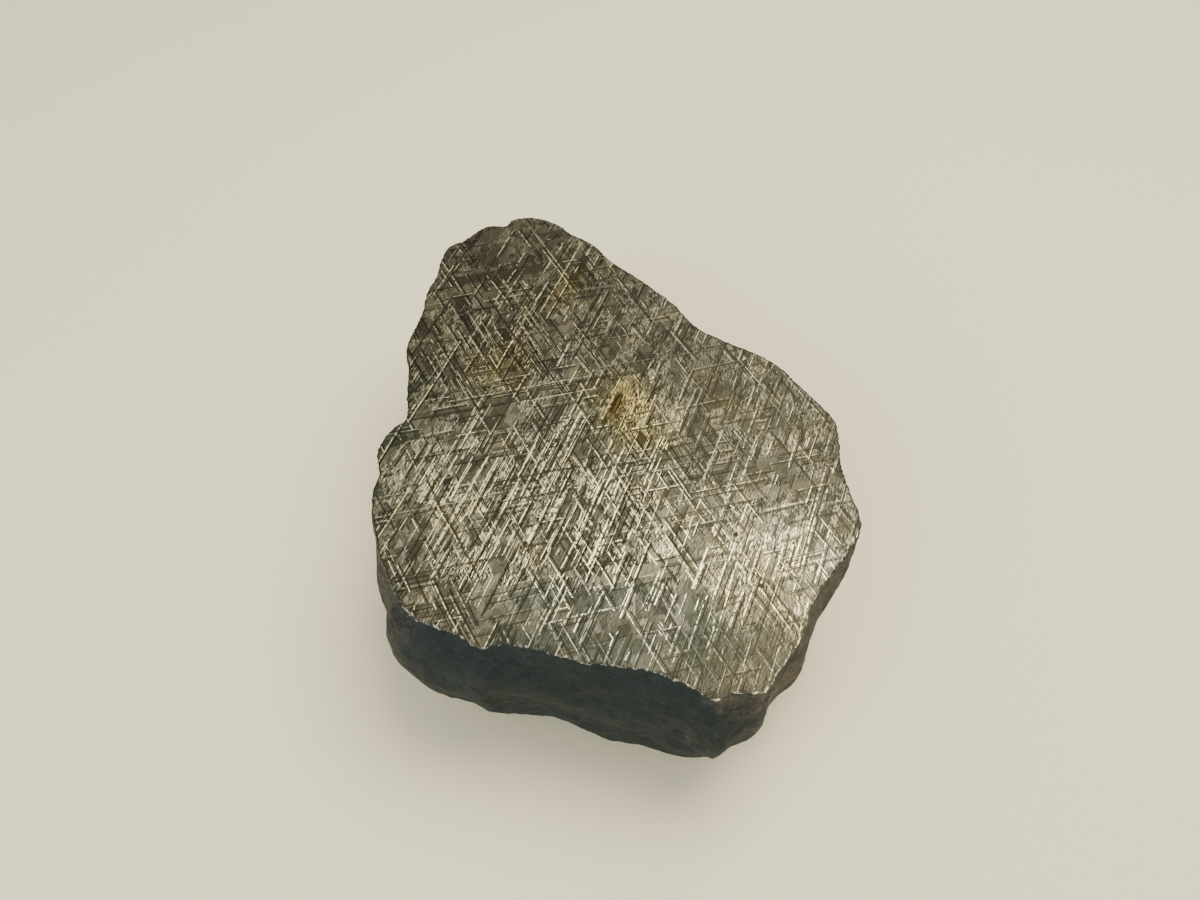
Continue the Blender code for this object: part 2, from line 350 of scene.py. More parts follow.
def lump_surface():
    """All points, faces, face materials and map corners of the lump, as arrays in millimetres.

    The rings of the face and of the crust and one on the rest spot are joined by quads, and a fan
    closes each end. The lump is moved so that it fills the solid's box from below.
    """
    crust = chipped(weathered(crust_grid()))
    face, shares, centre = face_rings(crust[:, 0])
    rest_middle = np.array([*REST_AT, 0])
    rest = rest_middle + (crust[:, -1] - rest_middle) * 0.5
    rings = np.concatenate([face[::-1], crust.transpose(1, 0, 2), rest[None]])
    points = np.vstack([rings.reshape(-1, 3), centre[None], rest_middle[None]])
    low, high = points.min(0), points.max(0)
    shift = (LOW + HIGH) / 2 - (low + high) / 2
    shift[2] = LOW[2] - low[2]

    quads, around, down = strip_faces(len(rings))
    inner = len(shares)
    step = np.arange(AROUND)
    following = (step + 1) % AROUND
    top, bottom = len(points) - 2, len(points) - 1
    last = (len(rings) - 1) * AROUND
    cap = np.stack([np.full(AROUND, top), step, following], 1)
    base = np.stack([np.full(AROUND, bottom), last + following, last + step], 1)
    material = np.concatenate([down[:, 0] >= inner, np.zeros(AROUND), np.ones(AROUND)])
    corners = np.concatenate([quads.ravel(), cap.ravel(), base.ravel()])
    sizes = np.concatenate([np.full(len(quads), 4), np.full(2 * AROUND, 3)])

    quad_map, face_map, rest_map = lump_map(points, quads, around, down, inner, len(rings) - 2)
    maps = [part.reshape(-1, 2) for part in (quad_map, face_map[cap], rest_map[base])]
    rim_away = rim_distance(rings, inner)
    return points + shift, corners, sizes, material, np.concatenate(maps), rim_away, shift


def mesh_from_arrays(name, points, corners, sizes, material, maps, rim_away):
    """A smooth mesh with the given points, faces, face materials, map and distances to the rim."""
    mesh = bpy.data.meshes.new(name)
    mesh.vertices.add(len(points))
    mesh.vertices.foreach_set("co", (points * MM).astype(np.float32).ravel())
    mesh.loops.add(len(corners))
    mesh.loops.foreach_set("vertex_index", corners.astype(np.int32))
    mesh.polygons.add(len(sizes))
    starts = np.concatenate([[0], np.cumsum(sizes)[:-1]])
    mesh.polygons.foreach_set("loop_start", starts.astype(np.int32))
    mesh.polygons.foreach_set("material_index", material.astype(np.int32))
    distance = mesh.attributes.new("rim_distance", "FLOAT", "POINT")
    distance.data.foreach_set("value", rim_away.astype(np.float32))
    mesh.uv_layers.new(name="OFBake").data.foreach_set("uv", maps.astype(np.float32).ravel())
    mesh.update(calc_edges=True)
    mesh.validate()
    mesh.shade_smooth()
    mesh.set_sharp_from_angle(angle=SHARP_ANGLE)
    return mesh


class Wire:
    """A number on its way through a node tree. Arithmetic on it adds Math nodes."""

    def __init__(self, tree, end):
        self.tree, self.end = tree, end

    def math(self, operation, *others):
        """A Math node on this number and others."""
        node = self.tree.nodes.new("ShaderNodeMath")
        node.operation = operation
        for slot, value in zip(node.inputs, (self, *others)):
            join(self.tree, slot, value)
        return Wire(self.tree, node.outputs[0])

    def __add__(self, other):
        return self.math("ADD", other)

    def __sub__(self, other):
        return self.math("SUBTRACT", other)

    def __rsub__(self, other):
        return Wire.of(self.tree, other) - self

    def __mul__(self, other):
        return self.math("MULTIPLY", other)

    def __truediv__(self, other):
        return self.math("DIVIDE", other)

    def vector_math(self, operation, other):
        """Vector arithmetic with a plain vector or another wire."""
        node = self.tree.nodes.new("ShaderNodeVectorMath")
        node.operation = operation
        join(self.tree, node.inputs[0], self)
        join(self.tree, node.inputs[1], other)
        return Wire(self.tree, node.outputs[1 if operation == "DOT_PRODUCT" else 0])

    def step(self, low, high):
        """Smooth step of the number between low and high."""
        node = self.tree.nodes.new("ShaderNodeMapRange")
        node.interpolation_type = "SMOOTHSTEP"
        for slot, value in zip(node.inputs, (self, low, high, 0.0, 1.0)):
            join(self.tree, slot, value)
        return Wire(self.tree, node.outputs[0])

    def mix(self, other, share):
        """This number moved towards another by a share."""
        return self + (other - self) * share

    @staticmethod
    def of(tree, value):
        """A wire that carries a plain number, or the wire itself."""
        if isinstance(value, Wire):
            return value
        node = tree.nodes.new("ShaderNodeValue")
        node.outputs[0].default_value = value
        return Wire(tree, node.outputs[0])


def join(tree, slot, value):
    """Link a wire to a socket, or set the socket to a plain value."""
    if isinstance(value, Wire):
        tree.links.new(value.end, slot)
    else:
        slot.default_value = value


def vector(tree, x, y, z=0.0):
    """Three numbers as one vector."""
    node = tree.nodes.new("ShaderNodeCombineXYZ")
    for slot, value in zip(node.inputs, (x, y, z)):
        join(tree, slot, value)
    return Wire(tree, node.outputs[0])


def parts(tree, value):
    """The three numbers of a vector or of a colour."""
    node = tree.nodes.new("ShaderNodeSeparateXYZ")
    join(tree, node.inputs[0], value)
    return [Wire(tree, end) for end in node.outputs]


def noise(tree, place, scale, detail=2.0, roughness=0.5):
    """Smooth noise from 0 to 1 with a middle of 0.5."""
    node = tree.nodes.new("ShaderNodeTexNoise")
    join(tree, node.inputs["Vector"], place)
    join(tree, node.inputs["Scale"], scale)
    node.inputs["Detail"].default_value = detail
    node.inputs["Roughness"].default_value = roughness
    return Wire(tree, node.outputs["Fac"])


def dice(tree, x, y, z):
    """Three random numbers that belong to a cell, from its own three numbers."""
    node = tree.nodes.new("ShaderNodeTexWhiteNoise")
    node.noise_dimensions = "3D"
    join(tree, node.inputs["Vector"], vector(tree, x, y, z))
    return parts(tree, Wire(tree, node.outputs["Color"]))


def new_group(name, inputs, outputs):
    """An empty node group with named sockets, its inputs as wires and its output node."""
    tree = bpy.data.node_groups.new(name, "ShaderNodeTree")
    for label in inputs:
        kind = "NodeSocketVector" if label == "Place" else "NodeSocketFloat"
        tree.interface.new_socket(name=label, in_out="INPUT", socket_type=kind)
    for label in outputs:
        tree.interface.new_socket(name=label, in_out="OUTPUT", socket_type="NodeSocketFloat")
    start = tree.nodes.new("NodeGroupInput")
    wires = {socket.name: Wire(tree, socket) for socket in start.outputs if socket.name}
    return tree, wires, tree.nodes.new("NodeGroupOutput")


def use(tree, group, **values):
    """A node group placed in a tree with its inputs given by name, and its outputs as wires."""
    node = tree.nodes.new("ShaderNodeGroup")
    node.node_tree = group
    for label, value in values.items():
        join(tree, node.inputs[label], value)
    return {socket.name: Wire(tree, socket) for socket in node.outputs}


def rotated(tree, place, turn):
    """How far a place lies along a direction and across it."""
    x, y, _ = parts(tree, place)
    cosine, sine = (Wire.of(tree, turn).math(kind) for kind in ("COSINE", "SINE"))
    return x * cosine + y * sine, y * cosine - x * sine


def bars_group():
    """Crystal bars of one direction, all lengths in millimetres.

    The face is ruled in rows a pitch apart, and each row is cut in cells of about the length, on a
    slant of its own. A cell's dice say whether it holds a bar, how wide it is, where it starts and
    ends and its tone. Body is the bar, Glint a thin bright line on its one edge, partly its bright rim
    and partly painted highlight, and Shade a line of painted shade on the other.
    """
    names = ("Place", "Turn", "Pitch", "Length", "Share", "Width", "Edge", "Taper", "Waver", "Seed")
    tree, get, out = new_group("crystal_bars", names, ("Body", "Tone", "Glint", "Shade"))
    along, across = rotated(tree, get["Place"], get["Turn"])
    bend = noise(tree, vector(tree, along * 0.03, across * 0.03, get["Seed"]), 1.0, 1.0)
    fray = noise(tree, vector(tree, along * 0.7, across * 0.5, get["Seed"]), 1.0, 1.0)
    across = across + (bend - 0.5) * get["Waver"] * 8.0 + (fray - 0.5) * get["Waver"]
    row = (across / get["Pitch"]).math("FLOOR")
    from_row = ((across / get["Pitch"]).math("FRACT") - 0.5) * get["Pitch"]
    stretch, start_at, slant = dice(tree, row, get["Seed"], 3.7)
    length = get["Length"] * (stretch * 0.8 + 0.6)
    run = (along + from_row * (slant - 0.5) * 1.8) / length + start_at * 17.0
    cell = run.math("FLOOR")
    held, size, tone = dice(tree, row, cell, get["Seed"])
    start, end, offset = dice(tree, row, cell, get["Seed"] + 51.3)
    within = run.math("FRACT")
    from_start = (within - start * 0.35) * length
    from_end = (1.0 - end * 0.35 - within) * length
    inside = from_start.math("MINIMUM", from_end)
    half = get["Width"] * (size * 0.7 + 0.3) * 0.5
    drawn_in = (inside / (get["Taper"] + 0.01)).math("MINIMUM", 1.0).math("MAXIMUM", 0.0)
    half_here = half * drawn_in
    side = from_row + (offset - 0.5) * (get["Pitch"] * 0.96 - half * 2.0)
    there = held.math("LESS_THAN", get["Share"]) * inside.step(0.0, 0.25)
    beyond = side.math("ABSOLUTE") - half_here
    body = there * beyond.step(0.07, -0.07)
    ragged = fray.step(0.30, 0.48)
    upper = (side - half_here).math("ABSOLUTE")
    lower = (side + half_here + get["Edge"] * 0.8).math("ABSOLUTE")
    glint = there * ragged * upper.step(get["Edge"] * 0.75, get["Edge"] * 0.35)
    shade = there * lower.step(get["Edge"], get["Edge"] * 0.45)
    for slot, value in zip(out.inputs, (body, tone, glint, shade)):
        join(tree, slot, value)
    return tree


def fields_group():
    """The fields between the bars: cells cut by the three directions, each with its own tone.

    A cell is known by its row in each of the three directions, so its outline is a triangle or a
    parallelogram. Tone is its shade, Smooth says that it is a flat field with no grain.
    """
    tree, get, out = new_group("plessite_fields", ("Place", "Pitch", "Seed"), ("Tone", "Smooth"))
    rows = []
    for number, turn in enumerate((LONG, STEEP, LEVEL)):
        along, across = rotated(tree, get["Place"], turn)
        seed = get["Seed"] + number * 9.1
        bend = noise(tree, vector(tree, along * 0.05, across * 0.05, seed), 1.0, 1.0)
        pitch = get["Pitch"] * (1 + 0.35 * number)
        rows.append(((across + (bend - 0.5) * 9.0) / pitch).math("FLOOR"))
    tone, smooth, _ = dice(tree, rows[0], rows[1], rows[2] + get["Seed"] * 7.3)
    join(tree, out.inputs["Tone"], tone)
    join(tree, out.inputs["Smooth"], smooth)
    return tree


def grain_group():
    """Grain of the metal and of the crust: specks of about the size in millimetres, and finer ones."""
    tree, get, out = new_group("metal_grain", ("Place", "Size"), ("Speck", "Grain"))
    often = Wire.of(tree, 1.0) / get["Size"]
    join(tree, out.inputs["Speck"], noise(tree, get["Place"], often, 2.0, 0.7))
    join(tree, out.inputs["Grain"], noise(tree, get["Place"], often * 2.4, 3.0, 0.65))
    return tree


def rim_wear_and_highlight_group():
    """Wear of the sawn rim and a painted highlight on it, by the distance to it in millimetres.

    Bright is bare metal where a band of about the width is broken, most of all on the front side,
    where it is also a painted highlight. Dark is the thin dark line that runs along the rest of the
    rim.
    """
    tree, get, out = new_group("rim_wear_and_highlight", ("Place", "Distance", "Width"), ("Bright", "Dark"))
    _, y, _ = parts(tree, get["Place"])
    front = y.step(-45.0, -75.0)
    broken = noise(tree, get["Place"], 0.35, 3.0, 0.7)
    near = get["Distance"] / (get["Width"] * (broken * 2.0))
    band = near.step(1.0, 0.6)
    join(tree, out.inputs["Bright"], band * (front * 0.9 + 0.1) * broken.step(0.47, 0.62))
    join(tree, out.inputs["Dark"], band * (1.0 - front))
    return tree


def patch(tree, place, middle, size, turn=0.0):
    """A soft oval patch: 1 at its middle and 0 outside its half-sizes."""
    x, y, _ = parts(tree, place)
    along, across = rotated(tree, vector(tree, x - middle[0], y - middle[1]), turn)
    along, across = (along / size[0]).math("POWER", 2.0), (across / size[1]).math("POWER", 2.0)
    return (along + across).math("SQRT").step(1.0, 0.0)


def patches(tree, place, regions):
    """The sum of soft oval patches, each by its weight."""
    total = 0.0
    for middle, size, turn, weight in regions:
        total = patch(tree, place, middle, size, turn) * weight + total
    return total


def after(tree, place, value):
    """The same place, tied by a hair to a value, so that what reads it is worked out after it.

    It keeps few numbers in hand at a time in a long chain of layers. The shift is a millionth.
    """
    node = tree.nodes.new("ShaderNodeVectorMath")
    node.operation = "MULTIPLY_ADD"
    join(tree, node.inputs[0], vector(tree, value, value, value))
    node.inputs[1].default_value = (1e-6, 1e-6, 1e-6)
    join(tree, node.inputs[2], place)
    return Wire(tree, node.outputs[0])


def ramp(tree, value, stops):
    """Colours along a number, blended between stops."""
    node = tree.nodes.new("ShaderNodeValToRGB")
    band = node.color_ramp
    while len(band.elements) < len(stops):
        band.elements.new(0.5)
    for element, (at, colour) in zip(band.elements, stops):
        element.position = at
        element.color = (*colour, 1)
    join(tree, node.inputs[0], value)
    return Wire(tree, node.outputs[0])


def blend_colours(tree, base, over, share, kind="MIX"):
    """One colour laid over another by a share."""
    node = tree.nodes.new("ShaderNodeMix")
    node.data_type, node.blend_type = "RGBA", kind
    join(tree, node.inputs[0], share)
    join(tree, node.inputs[6], base)
    join(tree, node.inputs[7], over)
    return Wire(tree, node.outputs[2])


def surface_shader(name, **plain):
    """A material, its tree and its Principled shader, with the inputs that are the same all over."""
    material = bpy.data.materials.new(name)
    material.use_nodes = True
    shader = material.node_tree.nodes["Principled BSDF"]
    for label, value in plain.items():
        shader.inputs[label.replace("_", " ")].default_value = value
    return material, material.node_tree, shader


def millimetres(tree, shift):
    """Object coordinates in millimetres from the middle of the face."""
    coordinates = tree.nodes.new("ShaderNodeTexCoord")
    node = tree.nodes.new("ShaderNodeMapping")
    node.inputs["Scale"].default_value = (1 / MM, 1 / MM, 1 / MM)
    node.inputs["Location"].default_value = [-s for s in shift]
    tree.links.new(coordinates.outputs["Object"], node.inputs["Vector"])
    return Wire(tree, node.outputs[0])


def distance_to_rim(tree):
    """The distance to the rim that the mesh carries, in millimetres."""
    node = tree.nodes.new("ShaderNodeAttribute")
    node.attribute_name = "rim_distance"
    return Wire(tree, node.outputs["Fac"])


def relief(tree, height, distance, strength):
    """A Bump node on a height in millimetres."""
    node = tree.nodes.new("ShaderNodeBump")
    node.inputs["Distance"].default_value = distance * MM
    node.inputs["Strength"].default_value = strength
    join(tree, node.inputs["Height"], height)
    return Wire(tree, node.outputs[0])


# The bars, in the order in which they lie over each other: direction, pitch, length, share, width,
# edge and taper, then how far the body, the bright edge and the dark edge show, and the body's
# darkest and lightest tone. The bright edge is partly the bar's bright rim and partly painted
# highlight; the dark edge is painted shade
BAR_LAYERS = [
    (LEVEL, 8.0, 70.0, 0.55, 3.0, 0.30, 0.0, (0.85, 0.30, 0.60), (0.27, 0.42)),
    (STEEP, 5.4, 34.0, 0.50, 2.2, 0.32, 0.0, (0.85, 0.85, 0.80), (0.20, 0.42)),
    (LONG, 4.2, 34.0, 0.60, 2.4, 0.36, 0.0, (0.85, 1.00, 0.75), (0.22, 0.43)),
    (LEVEL, 2.8, 28.0, 0.50, 1.1, 0.28, 0.5, (0.80, 0.70, 0.70), (0.22, 0.44)),
    (STEEP, 2.6, 28.0, 0.48, 1.1, 0.32, 0.5, (0.80, 0.90, 0.75), (0.22, 0.44)),
    (LONG, 2.5, 40.0, 0.46, 1.0, 0.36, 2.0, (0.80, 1.00, 0.80), (0.24, 0.47)),
    (LONG, 1.7, 16.0, 0.46, 0.44, 0.22, 2.0, (0.95, 0.00, 0.75), (0.42, 1.30)),
    (STEEP, 2.3, 16.0, 0.34, 0.42, 0.18, 2.0, (0.90, 0.00, 0.50), (0.35, 1.05)),
    (STEEP, 5.0, 60.0, 0.55, 0.60, 0.26, 3.0, (0.80, 0.55, 0.20), (0.12, 0.28)),
    (LEVEL, 6.5, 60.0, 0.45, 0.55, 0.24, 3.0, (0.75, 0.40, 0.20), (0.12, 0.28)),
]

# Bars and fields that stand out on the face, placed one by one: the middle, the direction, the
# length and width, the slant of the ends and the tone. The broad ones lie under the bars, the fine
# ones over
BROAD_MARKS = [
    (-3.6, 3.0, LONG, 9.0, 5.6, 0.9, 0.13), (-44.5, -16.0, LONG, 11.5, 7.0, -0.5, 0.14),
    (-35.5, 47.5, STEEP, 7.5, 3.6, -0.4, 0.10), (-53.5, 65.5, STEEP, 7.0, 6.0, 0.3, 0.14),
    (27.5, -24.5, STEEP, 6.0, 7.5, 0.5, 0.24), (-34.5, -33.5, LONG, 10.0, 3.0, 0.8, 0.16),
    (17.5, -3.5, LONG, 5.5, 5.0, -0.6, 0.14), (69.5, 6.0, LONG, 6.5, 5.0, 0.6, 0.24),
    (-6.8, 85.5, LONG, 17.0, 3.6, 0.3, 0.13), (-46.0, 11.5, LEVEL, 54.0, 2.8, 0.4, 0.20),
    (-18.0, 20.8, LEVEL, 46.0, 2.2, 0.4, 0.20), (50.0, -27.5, LEVEL, 80.0, 3.4, 0.4, 0.40),
    (14.0, -56.5, LEVEL, 34.0, 4.6, 0.6, 0.42), (-40.0, 81.0, LEVEL, 42.0, 5.0, 0.5, 0.20),
    (13.8, -17.5, STEEP, 25.0, 2.4, 0.3, 0.24), (28.0, -17.0, STEEP, 30.0, 1.8, 0.3, 0.26),
    (-28.5, -33.0, LONG, 22.0, 3.2, 0.5, 0.28), (-8.5, -49.0, LONG, 12.0, 3.0, 0.6, 0.26),
]
FINE_MARKS = [
    (-52.3, -20.0, LONG, 23.0, 0.65, 0.5, 0.95), (-44.6, 1.5, LONG, 19.0, 0.55, 0.5, 0.95),
    (-42.2, -22.5, LONG, 25.0, 0.7, 0.5, 1.00), (-23.8, -12.0, LONG, 14.0, 0.65, 0.5, 1.05),
    (-28.4, -26.5, LONG, 14.0, 0.65, 0.5, 1.10), (-25.8, -40.0, LONG, 23.0, 0.5, 0.5, 1.00),
    (-20.3, -41.5, LONG, 8.0, 1.0, 0.5, 1.10), (-6.8, 5.0, LONG, 12.0, 0.65, 0.5, 1.10),
    (-12.9, -31.5, LONG, 7.0, 1.1, 0.9, 0.80), (4.6, -22.0, LONG, 30.0, 0.55, 0.5, 1.00),
    (7.8, -24.0, LONG, 22.0, 0.4, 0.5, 0.90), (1.5, -46.0, LONG, 17.0, 0.65, 0.5, 0.95),
    (42.6, -8.5, LONG, 24.0, 0.5, 0.5, 0.85), (55.0, -10.5, LONG, 21.0, 0.55, 0.5, 0.90),
    (35.4, -54.0, LONG, 18.0, 0.55, 0.5, 0.85), (-12.3, 37.5, LONG, 13.0, 0.7, 0.5, 0.90),
    (-14.5, 79.5, LONG, 46.0, 0.5, 0.5, 0.90), (-3.0, 96.0, LONG, 7.0, 0.85, 0.5, 0.85),
    (-31.5, 46.5, STEEP, 50.0, 0.8, 0.5, 0.08), (-5.0, -27.5, STEEP, 37.0, 0.7, 0.5, 0.12),
    (-48.0, -39.0, STEEP, 42.0, 0.8, 0.5, 0.12), (-34.6, 71.5, STEEP, 15.0, 0.5, 0.5, 0.80),
    (-19.6, 94.0, STEEP, 33.0, 0.5, 0.5, 0.75), (-17.7, 94.0, STEEP, 28.0, 0.5, 0.5, 0.10),
    (-44.0, 47.0, STEEP, 30.0, 0.6, 0.5, 0.75), (24.0, -44.0, STEEP, 36.0, 0.6, 0.5, 0.75),
    (-19.0, -26.8, LEVEL, 24.0, 0.6, 0.5, 0.08), (-21.0, -18.5, LEVEL, 33.0, 0.6, 0.5, 0.10),
    (-47.0, -55.0, LEVEL, 37.0, 0.6, 0.5, 0.12), (-14.0, 24.0, LEVEL, 32.0, 0.5, 0.5, 0.70),
    (-12.0, 17.8, LEVEL, 26.0, 0.4, 0.5, 0.75), (35.0, -33.0, LEVEL, 40.0, 0.5, 0.5, 0.14),
]

# How many marks are laid before the place is tied to the tone again, and how soft their edges are
MARKS_AT_ONCE, MARK_EDGE = 6, 0.12

# Regions of the face, in millimetres from its middle: each is a soft oval, by its middle and its two
# half-sizes, then its direction where it is turned, and its weight in a list of several
AT_SLIT = ((13, 12), (24, 20))
FAR_END = ((-44, 88), (62, 44))
FRONT_STRIP = ((2, -80), (64, 32))
LEFT_CORNER = ((-68, -54), (32, 28))
CREAMY = ((52, -52), (34, 40), LONG)
BARE = ((18, 14), (26, 22))
# Patches of painted sparkle, where the painted grain light is stronger
PAINTED_SPARKLE = [((-36, -56), (22, 16), 0.0, 1.4), ((-30, 44), (34, 26), 0.0, 1.0)]

# Where the bars of each direction crowd
LONG_CROWD = [((-14, -26), (62, 62), 0.0, 1.0), ((38, -80), (55, 30), 0.0, 0.6)]
STEEP_CROWD = [((-35, 42), (56, 50), 0.0, 0.9), ((28, -22), (36, 34), 0.0, 0.8)]
LEVEL_CROWD = [((-42, 14), (62, 32), LEVEL, 1.3), ((45, -22), (55, 24), 0.0, 0.9)]

# Painted light: where the metal is painted brighter as if it caught the lamps, and the far part
# that is painted darker as painted shade
GLOW = ((-10, -30), (75, 95), math.radians(60))
PAINTED_LIGHT_AT_RIGHT = ((62, -48), (42, 38))
PAINTED_LIGHT_SPOTS = [((-48, -34), (48, 66), 0.0, 0.21), ((14, 12), (32, 26), 0.0, 0.14)]
FAR_PAINTED_SHADE = ((-50, 85), (80, 80))

# Stains, the rust in the middle of two of them, what fills the slit, and two small dark dots
STAINS = [
    ((11, 14), (26, 20), SLIT_TURN, 1.1), ((20, -2), (20, 14), 0.0, 0.66),
    ((-37, 31), (26, 19), math.radians(60), 0.65), ((-12, 74), (22, 9), math.radians(65), 0.8),
    ((50, 12), (14, 10), 0.0, 0.3),
]
EVEN_STAIN = ((57, -62), (24, 24))
RUST_SPOTS = [((9, 14), (13, 7), SLIT_TURN, 1.0), ((-37, 27), (6, 2.5), SLIT_TURN, 1.0)]
IN_SLIT = (SLIT_AT, (11.0, 2.0), SLIT_TURN)
DOTS = [((54.5, -61.0), (1.5, 1.5), 0.0, 1.0), ((47.8, -42.0), (1.5, 1.3), 0.0, 1.0)]

# The metal's fields by their pitch and seed, and the size of the grain on the face and on the crust.
# Painted grain light: each speck takes a painted highlight and painted shade from the grain a
# little way off
FIELDS = [(7.0, 1.0), (3.2, 2.0), (1.3, 3.0)]
FACE_GRAIN, CRUST_GRAIN = 0.9, 1.1
PAINTED_LIGHT_FROM = (0.08, -0.42, 0.0)

# Colours of the etched metal by its tone, of its cool and warm fields, and of what lies on it
# The tone that picks these colours carries the painted light and shade of the face
STEEL = [
    (0.0, (0.010, 0.009, 0.005)), (0.20, (0.0395, 0.036, 0.0205)), (0.40, (0.104, 0.0965, 0.063)),
    (0.65, (0.287, 0.266, 0.176)), (1.0, (0.90, 0.82, 0.46)),
]
HUES = [(0.36, (0.90, 1.0, 0.97)), (0.50, (1.0, 1.0, 1.0)), (0.66, (1.06, 0.99, 0.86))]
COOL_STRIP = (0.96, 1.03, 1.13, 1)
YELLOWED = (1.03, 0.91, 0.54, 1)
RUST = (0.19, 0.120, 0.036, 1)
SLIT_FILL = (0.095, 0.068, 0.024, 1)
DOT_FILL = (0.030, 0.022, 0.010, 1)

# Colours of the crust: slate in front, its own dark colour with painted reflection and shade, and
# brown elsewhere, by how mottled it is, and its details
SLATE = [
    (0.30, (0.0105, 0.0155, 0.0162)), (0.50, (0.0148, 0.0218, 0.0226)),
    (0.70, (0.0215, 0.0292, 0.0292)),
]
BROWN = [
    (0.28, (0.015, 0.013, 0.010)), (0.42, (0.042, 0.037, 0.028)), (0.55, (0.078, 0.069, 0.052)),
    (0.70, (0.135, 0.114, 0.083)),
]
CRUST_RUST = (0.11, 0.058, 0.026, 1)
FLECK = (0.19, 0.18, 0.15, 1)
# Painted shade in the crust's pits
PIT_SHADE = (0.006, 0.006, 0.005, 1)
# Bare metal of the rim, also a painted highlight in front
BARE_METAL_AND_HIGHLIGHT = (0.50, 0.47, 0.38, 1)


def marked(tree, place, tone, marks, shown):
    """The tone with a list of bars laid over it, each a slanted box between its sides and its ends."""
    for number, (x, y, turn, length, width, slant, own) in enumerate(marks):
        if number % MARKS_AT_ONCE == 0:
            here = after(tree, place, tone)
        cosine, sine = math.cos(turn), math.sin(turn)
        offset = here.vector_math("SUBTRACT", (x, y, 0.0))
        along = offset.vector_math("DOT_PRODUCT", (cosine - slant * sine, sine + slant * cosine, 0.0))
        across = offset.vector_math("DOT_PRODUCT", (-sine, cosine, 0.0))
        from_end = length / 2 - along.math("ABSOLUTE")
        from_side = width / 2 - across.math("ABSOLUTE")
        tone = tone.mix(own, from_end.math("MINIMUM", from_side).step(-MARK_EDGE, MARK_EDGE) * shown)
    return tone


def metal_ground(tree, place, bars, grain_nodes):
    """The metal under the bars, as named wires.

    Tone is the sum of the tones of large, small and tiny fields and of painted grain light, and the
    last two show most where a large field is rough. The painted grain light is the grain less the
    grain a little way off, so that a speck gets a painted highlight on one side and painted shade on
    the other. Height is the grain plus bars that stand up or lie low.
    """
    along, across = rotated(tree, place, LONG)
    streaks = noise(tree, vector(tree, along * 0.35, across * 2.2), 1.0, 2.0, 0.6)
    fields = fields_group()
    large, small, tiny = (
        use(tree, fields, Place=place, Pitch=pitch, Seed=seed) for pitch, seed in FIELDS
    )
    strokes = vector(tree, along * 0.58, across * 1.08)
    bits = use(tree, grain_nodes, Place=strokes, Size=FACE_GRAIN)
    beside = use(tree, grain_nodes, Place=strokes.vector_math("ADD", PAINTED_LIGHT_FROM), Size=FACE_GRAIN)
    speck, grain = bits["Speck"], bits["Grain"]
    rough = large["Smooth"].step(0.30, 0.36)
    rough = rough.math("MAXIMUM", patch(tree, place, *AT_SLIT) * 1.5)
    quiet = patch(tree, place, *FAR_END).step(0.0, 0.6)
    strip = patch(tree, place, *FRONT_STRIP).step(0.0, 0.6)
    corner = patch(tree, place, *LEFT_CORNER).step(0.0, 0.6)
    rough = rough * (1.0 - quiet * 0.6 - strip * 0.7 - corner * 0.6)
    raised = use(
        tree, bars, Place=place, Turn=LONG, Pitch=2.4, Length=22.0, Share=0.5, Width=0.85,
        Edge=0.3, Taper=1.0, Waver=0.3, Seed=60.0,
    )
    tone = (large["Tone"] - 0.5) * 0.12 + (small["Tone"] - 0.5) * 0.20 + 0.29 + rough * 0.055
    tone = tone + (tiny["Tone"] - 0.5) * (rough * 0.30 + 0.02)
    # Painted grain light: the grain less the grain a little way off, a painted highlight on one side of
    # each speck and painted shade on the other
    sparkle_strength = patches(tree, place, PAINTED_SPARKLE) + 1.0
    painted_grain_light = (speck - beside["Speck"]) * 1.1 + (grain - beside["Grain"]) * 0.5
    tone = tone + painted_grain_light * (rough * sparkle_strength * 0.76 - strip * 0.10 + 0.20)
    tone = tone + (streaks - 0.5) * (patch(tree, place, *CREAMY) * 1.6 + rough * 0.15)
    height = (speck - 0.5) * rough * 0.8 + raised["Body"] * (raised["Tone"] - 0.5)
    return SimpleNamespace(
        tone=tone, height=height, painted_grain_light=painted_grain_light, speck=speck, grain=grain, streaks=streaks, quiet=quiet,
        strip=strip, field=large["Tone"],
    )


